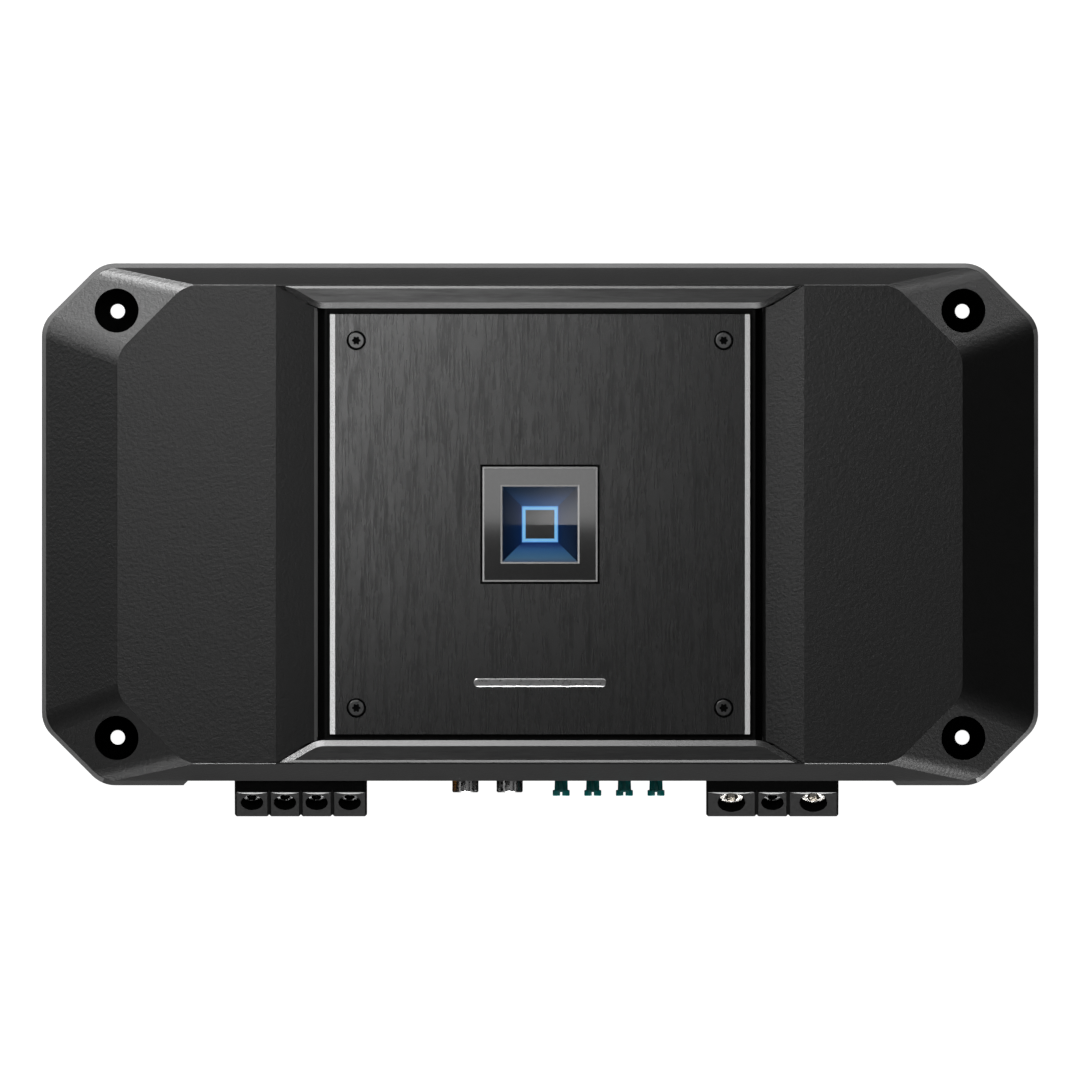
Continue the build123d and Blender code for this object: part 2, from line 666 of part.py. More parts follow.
def rca_jack_housing():
    housing = block(-30.6, -2.6, NOTCH_Y, CONTROL_FRONT, RCA_Z - 5.6, RCA_Z + 5.6)
    for x in RCA_X:
        housing -= rod_y(x, NOTCH_Y - 1, -71.9, RCA_Z, RCA_NECK_R + 0.05)
        housing += rod_y(x, RCA_END + 0.8, -71, RCA_Z, 3.65)
        housing -= rod_y(x, RCA_END, -69.9, RCA_Z, RCA_BORE_R)
    return housing


def rca_jack_shells():
    shells = []
    for x in RCA_X:
        shell = rod_y(x, RCA_END, PANEL_FRONT - 0.1, RCA_Z, RCA_SHELL_R)
        shell = chamfer(shell.edges().filter_by(GeomType.CIRCLE).sort_by(Axis.Y)[0], 0.35)
        shell += rod_y(x, PANEL_FRONT - 0.1, -72, RCA_Z, RCA_NECK_R)
        shells.append(shell - rod_y(x, RCA_END - 1, -71, RCA_Z, 3.7))
    return shells


def rca_jack_contacts():
    contacts = []
    for x in RCA_X:
        sleeve = rod_y(x, RCA_END + 1.2, -70, RCA_Z, RCA_BORE_R - 0.05)
        contacts.append(sleeve - rod_y(x, RCA_END, -71.5, RCA_Z, RCA_BORE_R - 0.35))
    return contacts


def fluted_section(r, z):
    """Outline of a knob's stem: a twelve-pointed star with shallow flutes."""
    points = []
    for step in range(24):
        reach = r if step % 2 else r - 0.2
        angle = math.radians(15 * step)
        points.append((reach * math.cos(angle), reach * math.sin(angle)))
    return Pos(0, 0, z) * Polygon(*points, align=None)


def knob(x):
    """Trimmer shaft: journal, fluted flaring stem and a slotted end flange, built outwards from the pot."""
    flange_z = KNOB_END - 1.9
    flange = rod_z(0, 0, flange_z, KNOB_END, 2.7)
    flange = chamfer(flange.edges().filter_by(GeomType.CIRCLE), 0.2)
    stem = loft([fluted_section(1.9, 74.1), fluted_section(2.2, flange_z)], ruled=True)
    body = rod_z(0, 0, 68.6, 74.1, 1.5) + stem + flange
    body -= block(-0.33, 0.33, -4, 4, KNOB_END - 1.2, KNOB_END + 1)
    return Plane(origin=(x, 0, KNOB_Z), x_dir=(1, 0, 0), z_dir=(0, -1, 0)) * body


def potentiometer_bodies():
    bodies = []
    for x in KNOB_X.values():
        body = block(x - 4.5, x + 4.5, NOTCH_Y, CONTROL_FRONT, KNOB_Z - 5.5, KNOB_Z + 5.5)
        bodies.append(body - rod_y(x, NOTCH_Y - 1, -68, KNOB_Z, 1.55))
    return bodies


def switch_housings():
    housings = []
    for x in SWITCH_X.values():
        housing = block(x - 4.8, x + 4.8, NOTCH_Y, CONTROL_FRONT, SWITCH_Z - 3.2, SWITCH_Z + 3.2)
        slot = block(x - 3.4, x + 3.4, NOTCH_Y - 1, -70, SWITCH_Z - 1.25, SWITCH_Z + 1.25)
        housings.append(housing - slot)
    return housings


def switch_slider(x):
    """Sliding lever, shown in the middle of its travel."""
    lever = block(x - 1.2, x + 1.2, -78.3, -70.2, SWITCH_Z - 1.15, SWITCH_Z + 1.15)
    return chamfer(lever.faces().sort_by(Axis.Y)[0].edges(), 0.3)


def remote_port():
    """Socket for a remote level control's plug. Its face fills a notch in the panel's lower edge."""
    x = REMOTE_PORT_X
    port = block(x - PORT_HALF, x + PORT_HALF, PANEL_FRONT, NOTCH_Y, PANEL_Z + 0.1, PORT_TOP_Z)
    port += block(x - PORT_HALF, x + PORT_HALF, NOTCH_Y, CONTROL_FRONT, TERMINAL_Z, PORT_TOP_Z)
    return port - block(x - 4.85, x + 4.85, PANEL_FRONT - 1, -67.5, 8.5, 14.3)


def fuse_socket():
    """One moulding that takes both blade fuses."""
    socket = block(FUSE_X - 10.8, FUSE_X + 10.8, -76, -62, TERMINAL_Z, 27.2)
    for z in FUSE_Z.values():
        socket -= block(FUSE_X - 9.8, FUSE_X + 9.8, -77, -72.3, z - 2.8, z + 2.8)
        for side in (-1, 1):
            blade_x = FUSE_X + side * BLADE_PITCH / 2
            socket -= block(blade_x - 2.8, blade_x + 2.8, -73, -64.5, z - 0.6, z + 0.6)
    return socket


def fuse(z):
    body = block(FUSE_X - 9.5, FUSE_X + 9.5, -81, -72.5, z - 2.5, z + 2.5)
    body = fillet(body.edges().filter_by(Axis.Y), 0.8)
    for side in (-1, 1):
        blade_x = FUSE_X + side * BLADE_PITCH / 2
        body += block(blade_x - 2.5, blade_x + 2.5, -73, -64.8, z - 0.4, z + 0.4)
    grip = block(FUSE_X - 6, FUSE_X + 6, -80, -77.5, z + 2, z + 4)
    return body - grip - grip.mirror(Plane(origin=(0, 0, z), z_dir=(0, 0, 1)))


def status_light_pipes():
    return [rod_y(STATUS_X, PANEL_FRONT - 0.8, CONTROL_FRONT, z, 1.5) for z in STATUS_Z]


# ---------------------------------------------------------------- boards


def main_board():
    board = block(-BOARD_HALF_X, BOARD_HALF_X, BOARD_FRONT, BOARD_REAR, BOARD_Z, BOARD_TOP_Z)
    for side in (-1, 1):
        low, high = sorted((side * 98, side * 130))
        board -= block(low, high, -90, -63, 0, 10)
    board -= [rod_z(x, y, 0, 10, M3_CLEAR_R) for x, y in PILLARS]
    for cell in [*SPEAKER_CELLS.values(), *POWER_CELLS.values()]:
        board -= block(cell.x - 2.2, cell.x + 2.2, -70.3, -68.8, 0, 10)
    for side in (-1, 1):
        x = side * 116.6
        board -= [block(x - 0.5, x + 0.5, y - 3.4, y + 3.4, 0, 10) for y in TRANSISTOR_Y]
    return board


def main_board_screws():
    screws = []
    for x, y in PILLARS:
        head = rod_z(x, y, BOARD_Z - 2, BOARD_Z, M3_HEAD_R) - rod_z(x, y, BOARD_Z - 2, BOARD_Z - 0.9, 1.1)
        screws.append(head + rod_z(x, y, BOARD_Z - 0.5, 16, M3_R))
    return screws


def control_board():
    return block(-31, 48.5, CONTROL_FRONT, CONTROL_BACK, BOARD_TOP_Z, 32)


# ---------------------------------------------------------------- wound parts


def ring_core(x, y, r0, r1, z0, z1):
    """Toroidal core with softened edges."""
    ring = rod_z(x, y, z0, z1, r1) - rod_z(x, y, z0 - 1, z1 + 1, r0)
    return fillet(ring.edges().filter_by(GeomType.CIRCLE), 1.0)


def ring_winding(x, y, r0, r1, z0, z1, wire, parts):
    """Winding sectors that sleeve the core, with a gap between one sector and the next."""

    def section(grow):
        low, high = z0 - grow, z1 + grow
        return Polygon((r0 - grow, low), (r1 + grow, low), (r1 + grow, high), (r0 - grow, high), align=None)

    outline = section(wire)
    outline = fillet(outline.vertices(), wire * 0.8)
    core = section(0.1)
    sector = revolve(Plane.XZ * (outline - core), Axis.Z, 360 / parts - 12)
    return [Pos(x, y, 0) * Rot(0, 0, 360 / parts * part) * sector for part in range(parts)]


TRANSFORMER = (-45, 8, 12.5, 21.5, 11.2, 29.2)
INDUCTORS = [(30, 34, 8, 14.5, 10.2, 23.2), (30, -8, 8, 14.5, 10.2, 23.2), (74, -14, 6.5, 12, 9.6, 20.6)]


# ---------------------------------------------------------------- board parts


def can_capacitor(x, y, r, height):
    """Electrolytic can with its crimp ring."""
    can = rod_z(x, y, BOARD_TOP_Z, BOARD_TOP_Z + height, r)
    can = fillet(can.edges().sort_by(Axis.Z)[-1], 0.8)
    crimp = Pos(x, y, BOARD_TOP_Z + 3) * Torus(r + 0.2, 0.7)
    return can - crimp


def film_capacitors():
    bodies = []
    for x in (-81, -71, -61):
        body = block(x - 4, x + 4, -57, -39, BOARD_TOP_Z, BOARD_TOP_Z + 15)
        bodies.append(fillet(body.faces().sort_by(Axis.Z)[-1].edges(), 1.0))
    return bodies


def power_transistors():
    """Tabbed packages standing on the board, their backs turned to the heat rails."""
    packages = []
    for y in TRANSISTOR_Y:
        tab = block(118.4, 119.7, y - 5, y + 5, 11, 26.5) - rod_x(118, 120, y, 23.8, 1.8)
        body = block(115.2, 118.6, y - 5, y + 5, 11, 20)
        legs = [block(116.2, 116.9, y + shift - 0.5, y + shift + 0.5, 5, 11.5) for shift in (-2.54, 0, 2.54)]
        packages.append(tab + body + legs)
    return packages + [package.mirror(Plane.YZ) for package in packages]


def thermal_pads():
    pads = [block(119.7, RAIL_X, y - 5.5, y + 5.5, 12, 26.5) for y in TRANSISTOR_Y]
    return pads + [pad.mirror(Plane.YZ) for pad in pads]


def transistor_clamp_bars():
    bar = block(112.4, 115.2, -52, 52, 13, 20)
    bar -= [rod_x(112, 116, y, 16.5, M3_CLEAR_R) for y in CLAMP_SCREW_Y]
    return [bar, bar.mirror(Plane.YZ)]


def clamp_bar_screws():
    screws = []
    for y in CLAMP_SCREW_Y:
        head = rod_x(110.4, 112.4, y, 16.5, M3_HEAD_R) - rod_x(110.4, 111.6, y, 16.5, 1.1)
        screws.append(head + rod_x(112, 124, y, 16.5, M3_R))
    return screws + [screw.mirror(Plane.YZ) for screw in screws]


# ---------------------------------------------------------------- write every node

os.makedirs("parts", exist_ok=True)

save("heatsink_cover", heatsink_cover())
save("base_plate", base_plate())
save("base_plate_screws", *base_plate_screws())
rear_bar = rear_trim_bar()
save("rear_trim_bar", rear_bar)
save("front_trim_bar", rear_bar.mirror(Plane.XZ))
save("trim_bar_screws", *trim_bar_screws())
save("faceplate_carrier", faceplate_carrier())
save("faceplate", faceplate())
save("faceplate_screws", *faceplate_screws())
save("name_badge", name_badge())

save("badge_bezel", badge_bezel())
save("badge_lens", badge_lens())
save("badge_centre_cap", square(CAP_HALF, GUIDE_TOP_Z - 0.4, GUIDE_TOP_Z))
save("light_guide", light_guide())
save("light_reflector", light_reflector())
save("led_board", led_board())
save("led_chips", *led_chips())

save("end_panel", end_panel())
save("end_panel_screws", *end_panel_screws())
for block_name, cells in {"speaker": SPEAKER_CELLS, "power": POWER_CELLS}.items():
    save(f"{block_name}_terminal_housing", terminal_housing(list(cells.values())))
    save(f"{block_name}_terminal_clamps", *terminal_clamps(list(cells.values())))
    for screw_name, cell in cells.items():
        save(screw_name, clamp_screw(cell))

save("rca_jack_housing", rca_jack_housing())
save("rca_jack_shells", *rca_jack_shells())
save("rca_jack_contacts", *rca_jack_contacts())
save("potentiometer_bodies", *potentiometer_bodies())
for knob_name, knob_x in KNOB_X.items():
    save(knob_name, knob(knob_x))
save("switch_housings", *switch_housings())
for slider_name, slider_x in SWITCH_X.items():
    save(slider_name, switch_slider(slider_x))
save("remote_port", remote_port())
save("fuse_socket", fuse_socket())
for fuse_name, fuse_z in FUSE_Z.items():
    save(fuse_name, fuse(fuse_z))
save("status_light_pipes", *status_light_pipes())

save("main_board", main_board())
save("main_board_screws", *main_board_screws())
save("control_board", control_board())
save("transformer_core", ring_core(*TRANSFORMER))
save("transformer_winding", *ring_winding(*TRANSFORMER, wire=2.8, parts=3))
save("inductor_cores", *[ring_core(*place) for place in INDUCTORS])
save("inductor_windings", *[part for place in INDUCTORS for part in ring_winding(*place, wire=1.8, parts=2)])
save("input_capacitors", *[can_capacitor(x, y, 8, 26) for x, y in [(58, -50), (76, -50), (94, -26)]])
save("rail_capacitors", *[can_capacitor(-92, y, 9, 30) for y in (-20, 2, 24, 46)])
save("film_capacitors", *film_capacitors())
save("power_transistors", *power_transistors())
save("thermal_pads", *thermal_pads())
save("transistor_clamp_bars", *transistor_clamp_bars())
save("clamp_bar_screws", *clamp_bar_screws())
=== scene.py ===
# Looks of the car amplifier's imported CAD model, with its stage, lamps and camera.

import json
import math

import bpy
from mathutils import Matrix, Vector

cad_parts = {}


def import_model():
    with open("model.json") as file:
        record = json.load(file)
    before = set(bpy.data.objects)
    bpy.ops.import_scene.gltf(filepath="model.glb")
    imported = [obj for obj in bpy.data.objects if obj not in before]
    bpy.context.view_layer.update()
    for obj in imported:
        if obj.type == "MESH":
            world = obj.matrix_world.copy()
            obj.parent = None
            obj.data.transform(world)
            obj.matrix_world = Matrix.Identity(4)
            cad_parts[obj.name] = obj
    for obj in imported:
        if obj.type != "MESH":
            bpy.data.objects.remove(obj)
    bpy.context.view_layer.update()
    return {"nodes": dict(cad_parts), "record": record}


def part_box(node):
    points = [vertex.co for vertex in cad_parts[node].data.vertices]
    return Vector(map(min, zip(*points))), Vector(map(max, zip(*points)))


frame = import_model()
NODES = frame["nodes"]
RECORD = frame["record"]
MM = 0.001
MM_PER_METRE = 1000.0

WHITE = (1.0, 1.0, 1.0)

# the range that a noise texture mostly takes
NOISE_LOW = 0.3
NOISE_HIGH = 0.7

# the Mix node's colour sockets, by number because other sockets there have the same names
MIX_FACTOR = 0
MIX_FIRST = 6
MIX_SECOND = 7
MIX_RESULT = 2


# ---------------------------------------------------------------- material building


class Graph:
    """A Principled material with short calls for the nodes that its textures need."""

    def __init__(self, name, color, roughness, metallic=0.0, **sockets):
        self.material = bpy.data.materials.new(name)
        self.material.use_nodes = True
        self.tree = self.material.node_tree
        self.shader = self.tree.nodes["Principled BSDF"]
        self.set("Base Color", (*color, 1.0))
        self.set("Roughness", roughness)
        self.set("Metallic", metallic)
        for socket, value in sockets.items():
            self.set(socket.replace("_", " "), value)

    def set(self, socket, value):
        self.shader.inputs[socket].default_value = value

    def node(self, kind, **inputs):
        made = self.tree.nodes.new(kind)
        for name, value in inputs.items():
            made.inputs[name.replace("_", " ")].default_value = value
        return made

    def link(self, source, target):
        self.tree.links.new(source, target)

    def place(self, stretch=(1.0, 1.0, 1.0)):
        """The object's own coordinates in metres, stretched along its axes."""
        where = self.node("ShaderNodeTexCoord").outputs["Object"]
        mapping = self.node("ShaderNodeMapping", Scale=stretch)
        self.link(where, mapping.inputs["Vector"])
        return mapping.outputs["Vector"]

    def millimetres(self):
        """The object's own x and y, in millimetres."""
        made = self.node("ShaderNodeSeparateXYZ")
        self.link(self.place((MM_PER_METRE,) * 3), made.inputs["Vector"])
        return made.outputs["X"], made.outputs["Y"]

    def noise(self, scale, detail=2.0, rough=0.5, stretch=(1.0, 1.0, 1.0)):
        made = self.node("ShaderNodeTexNoise", Scale=scale, Detail=detail, Roughness=rough)
        self.link(self.place(stretch), made.inputs["Vector"])
        return made.outputs["Fac"]

    def math(self, operation, a, b):
        made = self.tree.nodes.new("ShaderNodeMath")
        made.operation = operation
        for socket, value in zip(made.inputs, (a, b)):
            if isinstance(value, (int, float)):
                socket.default_value = value
            else:
                self.link(value, socket)
        return made.outputs[0]

    def over_range(self, value, start, end, low, high):
        """value carried from start..end onto low..high, and held at either end."""
        made = self.node("ShaderNodeMapRange", From_Min=start, From_Max=end, To_Min=low, To_Max=high)
        self.link(value, made.inputs["Value"])
        return made.outputs["Result"]

    def spread(self, fac, low, high):
        """A noise carried from the range that it mostly takes onto low..high."""
        return self.over_range(fac, NOISE_LOW, NOISE_HIGH, low, high)

    def ramp(self, fac, *stops):
        """Colour that runs through (position, colour) stops."""
        made = self.tree.nodes.new("ShaderNodeValToRGB")
        elements = made.color_ramp.elements
        while len(elements) < len(stops):
            elements.new(0.5)
        for element, (position, color) in zip(elements, stops):
            element.position = position
            element.color = (*color, 1.0)
        self.link(fac, made.inputs["Fac"])
        return made.outputs["Color"]

    def mix(self, fac, first, second):
        """first where fac is 0, second where it is 1."""
        made = self.tree.nodes.new("ShaderNodeMix")
        made.data_type = "RGBA"
        self.link(fac, made.inputs[MIX_FACTOR])
        self.link(first, made.inputs[MIX_FIRST])
        self.link(second, made.inputs[MIX_SECOND])
        return made.outputs[MIX_RESULT]

    def color(self, fac, dark, light):
        shade = self.ramp(fac, (NOISE_LOW, dark), (NOISE_HIGH, light))
        self.link(shade, self.shader.inputs["Base Color"])

    def roughness(self, fac, low, high):
        self.link(self.spread(fac, low, high), self.shader.inputs["Roughness"])

    def bump(self, height, depth):
        """Relief of the surface: height runs from 0 to 1 over depth metres."""
        made = self.node("ShaderNodeBump", Strength=1.0, Distance=depth)
        self.link(height, made.inputs["Height"])
        self.link(made.outputs["Normal"], self.shader.inputs["Normal"])


def grey(value):
    return (value, value, value)


def dimmed(color, share):
    return [share * part for part in color]


# ---------------------------------------------------------------- materials, one function each

# places on the object that the looks depend on, in millimetres
BADGE_HALF = 12.0
FUNNEL_FOOT = 5.6
FUNNEL_MOUTH = 11.9
WINDOW_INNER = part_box("badge_centre_cap")[1][0] / MM
WINDOW_OUTER = 5.7
CREASE_Y = -85.0
# the terminals' painted highlight along their crease: full close to it, gone a little further off
HIGHLIGHT_FULL = 0.12
HIGHLIGHT_END = 0.32


def powder_coat(name="powder_coat", base=0.004, rough=0.42):
    """Black powder coat: fine sandy grain over a faint leathery waviness."""
    g = Graph(name, grey(base), rough)
    grain = g.noise(2100, detail=2.0, rough=0.6)
    hide = g.noise(900, detail=2.0, rough=0.45)
    g.color(g.noise(60, detail=2.0), grey(base * 0.9), grey(base * 1.15))
    g.roughness(grain, rough - 0.04, rough + 0.04)
    relief = g.math("ADD", g.math("MULTIPLY", grain, 0.6), hide)
    g.bump(relief, 0.00008)
    return g.material


def drawn_out(along, across_scale, along_scale):
    """Scales per axis of a texture that is drawn out along one of them."""
    return [along_scale if axis == along else across_scale for axis in "xyz"]


def brushed(name, dark, light, along, rough, depth=0.00003):
    """Anodised metal with brush lines along one axis, fine ones and a few broad ones."""
    fine = drawn_out(along, 1500.0, 120.0)
    broad = drawn_out(along, 420.0, 40.0)
    g = Graph(name, light, rough, 1.0)
    lines = g.noise(1.0, detail=3.0, rough=0.7, stretch=fine)
    streaks = g.noise(1.0, detail=2.0, rough=0.6, stretch=broad)
    both = g.math("ADD", g.math("MULTIPLY", lines, 0.6), g.math("MULTIPLY", streaks, 0.4))
    g.color(both, dark, light)
    g.roughness(both, rough + 0.05, rough - 0.05)
    g.bump(lines, depth)
    return g.material


def polished(name, color, rough):
    """Machined bright bevel with faint cutter marks."""
    g = Graph(name, color, rough, 1.0)
    marks = g.noise(2500, detail=1.0)
    g.color(marks, dimmed(color, 0.9), color)
    g.roughness(marks, rough - 0.03, rough + 0.03)
    return g.material


def plastic(name, color, rough, grain=1800, depth=0.00001, **sockets):
    """Moulded or coated surface with a fine grain."""
    g = Graph(name, color, rough, **sockets)
    texture = g.noise(grain, detail=2.0)
    g.color(g.noise(120, detail=3.0), dimmed(color, 0.9), color)
    g.roughness(texture, rough - 0.04, rough + 0.05)
    g.bump(texture, depth)
    return g.material


def metal(name, color, rough, depth=0.000006, **sockets):
    """Bare or plated metal, a little uneven in shade and gloss."""
    g = Graph(name, color, rough, 1.0, **sockets)
    texture = g.noise(900, detail=3.0)
    g.color(texture, dimmed(color, 0.88), color)
    g.roughness(texture, rough - 0.05, rough + 0.06)
    g.bump(texture, depth)
    return g.material


def lens_clear():
    """Polished window with a painted reflection: a specular tint keeps the reflection strong towards +X
    and -Y and dims it towards -X and +Y.
    """
    g = Graph("lens_clear", WHITE, 0.0, Transmission_Weight=1.0, IOR=1.5)
    x, y = g.millimetres()
    across = g.over_range(x, -BADGE_HALF, BADGE_HALF, 0.0, 1.0)
    painted_reflection_tint = g.ramp(across, (0.0, grey(0.07)), (0.35, grey(0.28)), (0.8, grey(0.85)), (1.0, grey(0.95)))
    towards_rear = g.over_range(y, 2.0, BADGE_HALF, 1.0, 0.3)
    painted_reflection_scaled = g.tree.nodes.new("ShaderNodeVectorMath")
    painted_reflection_scaled.operation = "SCALE"
    g.link(painted_reflection_tint, painted_reflection_scaled.inputs["Vector"])
    g.link(towards_rear, painted_reflection_scaled.inputs["Scale"])
    g.link(painted_reflection_scaled.outputs["Vector"], g.shader.inputs["Specular Tint"])
    return g.material


def square_reach(g):
    """How far a point is from the badge's middle, measured square, in millimetres, and its x and y."""
    x, y = g.millimetres()
    reach = g.math("MAXIMUM", g.math("ABSOLUTE", x, 0.0), g.math("ABSOLUTE", y, 0.0))
    return reach, x, y


def reflector_blue():
    """Metallised funnel with its light painted in emission: a blue glow painted as if lit from its foot,
    deep blue at the sides, and a paler painted reflection on the face nearest the front.
    """
    g = Graph("reflector_blue", (0.01, 0.03, 0.08), 0.35, Emission_Strength=1.0)
    reach, x, y = square_reach(g)
    up_the_funnel = g.over_range(reach, FUNNEL_FOOT, FUNNEL_MOUTH, 0.0, 1.0)
    sides = g.ramp(
        up_the_funnel,
        (0.0, (0.0, 0.012, 0.07)),
        (0.15, (0.0, 0.004, 0.025)),
        (0.5, (0.0, 0.002, 0.010)),
        (1.0, (0.0, 0.0, 0.001)),
    )
    # the paler front face is a painted reflection
    front = g.ramp(
        up_the_funnel,
        (0.0, (0.0, 0.008, 0.075)),
        (0.12, (0.003, 0.012, 0.08)),
        (0.4, (0.018, 0.070, 0.17)),
        (0.8, (0.035, 0.095, 0.16)),
        (1.0, (0.045, 0.065, 0.10)),
    )
    rear = g.ramp(
        up_the_funnel,
        (0.0, (0.002, 0.040, 0.13)),
        (0.35, (0.004, 0.025, 0.08)),
        (0.7, (0.001, 0.008, 0.025)),
        (1.0, (0.0, 0.004, 0.012)),
    )
    sideways = g.math("ABSOLUTE", x, 0.0)
    in_front = g.math("GREATER_THAN", g.math("MULTIPLY", y, -1.0), sideways)
    behind = g.math("GREATER_THAN", y, sideways)
    color = g.mix(behind, g.mix(in_front, sides, front), rear)
    g.link(color, g.shader.inputs["Emission Color"])
    return g.material


def light_guide_blue():
    """Light window: brightest in the middle of its visible rim."""
    g = Graph("light_guide_blue", (0.1, 0.3, 0.6), 0.3, Emission_Strength=1.0)
    reach, _, _ = square_reach(g)
    color = g.ramp(
        g.over_range(reach, WINDOW_INNER, WINDOW_OUTER, 0.0, 1.0),
        (0.0, (0.04, 0.16, 0.30)),
        (0.35, (0.17, 0.42, 0.66)),
        (0.6, (0.16, 0.40, 0.64)),
        (1.0, (0.01, 0.12, 0.30)),
    )
    g.link(color, g.shader.inputs["Emission Color"])
    return g.material


def terminal_black():
    """Glossy moulding with a pale painted highlight along its crease towards the sloped face."""
    black = grey(0.002)
    g = Graph("terminal_black", black, 0.22, Specular_IOR_Level=0.12)
    _, y = g.millimetres()
    from_crease = g.math("ABSOLUTE", g.math("ADD", y, -CREASE_Y), 0.0)
    painted_highlight = g.over_range(from_crease, HIGHLIGHT_END, HIGHLIGHT_FULL, 0.0, 1.0)
    g.link(g.ramp(painted_highlight, (0.0, black), (1.0, grey(0.30))), g.shader.inputs["Base Color"])
    g.roughness(g.noise(1500, detail=2.0), 0.2, 0.26)
    return g.material


MATERIALS = {
    "cast_black": powder_coat(),
    "base_steel": plastic("base_steel", grey(0.02), 0.45, grain=700, depth=0.00002),
    "screw_black": metal("screw_black", grey(0.05), 0.35),
    "bar_anodised": brushed("bar_anodised", grey(0.045), grey(0.08), "x", 0.36),
    "carrier_black": plastic("carrier_black", grey(0.002), 0.6, Specular_IOR_Level=0.12),
    "faceplate_brushed": brushed("faceplate_brushed", grey(0.035), grey(0.095), "y", 0.27, depth=0.00001),
    "faceplate_screw": metal("faceplate_screw", grey(0.10), 0.32),
    "satin_silver": metal("satin_silver", grey(0.26), 0.3),
    "bezel_gunmetal": metal(
        "bezel_gunmetal", grey(0.035), 0.36,
        Coat_Weight=1.0, Coat_IOR=1.75, Coat_Roughness=0.06,
    ),
    "lens_clear": lens_clear(),
    # the cap's faint white emission is painted light, standing for the lamps' light that cannot reach it
    # through the window
    "cap_dark": plastic(
        "cap_dark", grey(0.02), 0.03, depth=0.0,
        Emission_Color=(*WHITE, 1.0), Emission_Strength=0.02,
    ),
    "light_guide_blue": light_guide_blue(),
    "reflector_blue": reflector_blue(),
    "board_green": plastic("board_green", (0.01, 0.07, 0.03), 0.35),
    "led_white": plastic("led_white", (0.6, 0.65, 0.6), 0.3, Emission_Strength=0.5),
    "panel_black": plastic("panel_black", grey(0.008), 0.45, grain=1200, depth=0.00003),
    "terminal_black": terminal_black(),
    "brass_plated": metal("brass_plated", (0.45, 0.40, 0.28), 0.3),
    "nickel": metal("nickel", (0.55, 0.53, 0.50), 0.11),
    "screw_dark": metal("screw_dark", grey(0.06), 0.12),
    "socket_black": plastic("socket_black", grey(0.008), 0.3),
    "chrome": metal("chrome", grey(0.5), 0.26),
    "gold": metal("gold", (0.8, 0.55, 0.2), 0.2),
    "pot_body": plastic("pot_body", grey(0.03), 0.5),
    "knob_teal": plastic("knob_teal", (0.002, 0.2, 0.19), 0.35),
    "slider_grey": plastic("slider_grey", grey(0.2), 0.45),
    "fuse_amber": plastic("fuse_amber", (0.75, 0.28, 0.02), 0.2),
    "light_pipe": plastic("light_pipe", (0.6, 0.7, 0.8), 0.1),
    "ferrite": plastic("ferrite", grey(0.04), 0.6),
    "copper": metal("copper", (0.6, 0.25, 0.1), 0.3),
    "can_sleeve": plastic("can_sleeve", grey(0.02), 0.35),
    "film_red": plastic("film_red", (0.35, 0.03, 0.02), 0.3),
    "epoxy": plastic("epoxy", grey(0.02), 0.5),
    "pad_grey": plastic("pad_grey", grey(0.4), 0.8),
    "zinc_steel": metal("zinc_steel", grey(0.5), 0.35),
}


def give_materials():
    """Each CAD node gets the material that its record names."""
    for part in RECORD["subparts"]:
        mesh = NODES[part["node"]].data
        mesh.materials.clear()
        mesh.materials.append(MATERIALS[part["material_slot"]])


def paint_faces(node, material, chosen):
    """A further material on the faces whose middle, in millimetres, and normal pass the test."""
    mesh = NODES[node].data
    mesh.materials.append(material)
    index = len(mesh.materials) - 1
    for face in mesh.polygons:
        if chosen(face.center / MM, face.normal):
            face.material_index = index


# ---------------------------------------------------------------- second materials on single faces

# where those faces lie, in millimetres
MOUNT_X = 133.75
MOUNT_Y = 67.5
WELL_R = 7.0
WELL_FLOOR_TOP = 6.0
SLACK = 0.1
GROOVE_HALF_X = 70.3
LIP_OUTER_X = -71.4
LIP_INNER_X = -70.1
SUNK_HALF_Y = 70.0
GROOVE_TOP = 48.3
LIP_BOTTOM = 48.2
LIP_TOP = 49.4
RIM_BOTTOM = 31.0
RIM_TOP = 33.3
PLATE_BEVEL_X = 64.0
PLATE_SCREW = 58.0
RECESS_R = 3.3
RECESS_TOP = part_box("faceplate")[1][2] / MM - 0.05
SOCKET_R = 1.5
SOCKET_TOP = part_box("faceplate_screws")[1][2] / MM - 0.01
BLOCK_SLOPE_Y = CREASE_Y - 0.2


def near_corner(at, x, y, r):
    """Whether a point is within r of one of the four places at (±x, ±y)."""
    return math.hypot(abs(at.x) - x, abs(at.y) - y) < r


def is_bevel(at, normal):
    """A chamfer that leans well out of the level."""
    return 0.6 < normal.z < 0.95


def in_well(at, normal):
    """The wall and the floor of a mounting well."""
    on_wall = near_corner(at, MOUNT_X, MOUNT_Y, WELL_R + SLACK) and abs(normal.z) < 0.2
    on_floor = near_corner(at, MOUNT_X, MOUNT_Y, WELL_R - SLACK) and 0 < at.z < WELL_FLOOR_TOP
    return on_wall or on_floor


def in_groove(at, normal):
    """Everything sunk between the two wings."""
    return abs(at.x) < GROOVE_HALF_X and abs(at.y) < SUNK_HALF_Y and at.z < GROOVE_TOP


def on_rim(at, normal):
    """The chamfer round the body's widest outline."""
    return RIM_BOTTOM < at.z < RIM_TOP and 0.1 < normal.z < 0.9


def on_rear_and_left_rim(at, normal):
    return on_rim(at, normal) and (normal.y > 0.2 or normal.x < -0.3)


def on_right_rim(at, normal):
    """The rim's right stretch, with the corner in front of it."""
    return on_rim(at, normal) and normal.x > 0.3 and normal.y < 0.2


def on_left_lip(at, normal):
    """The left wing's edge along the sunk middle."""
    along_the_lip = LIP_OUTER_X < at.x < LIP_INNER_X and abs(at.y) < SUNK_HALF_Y
    return along_the_lip and LIP_BOTTOM < at.z < LIP_TOP and normal.x > 0.3


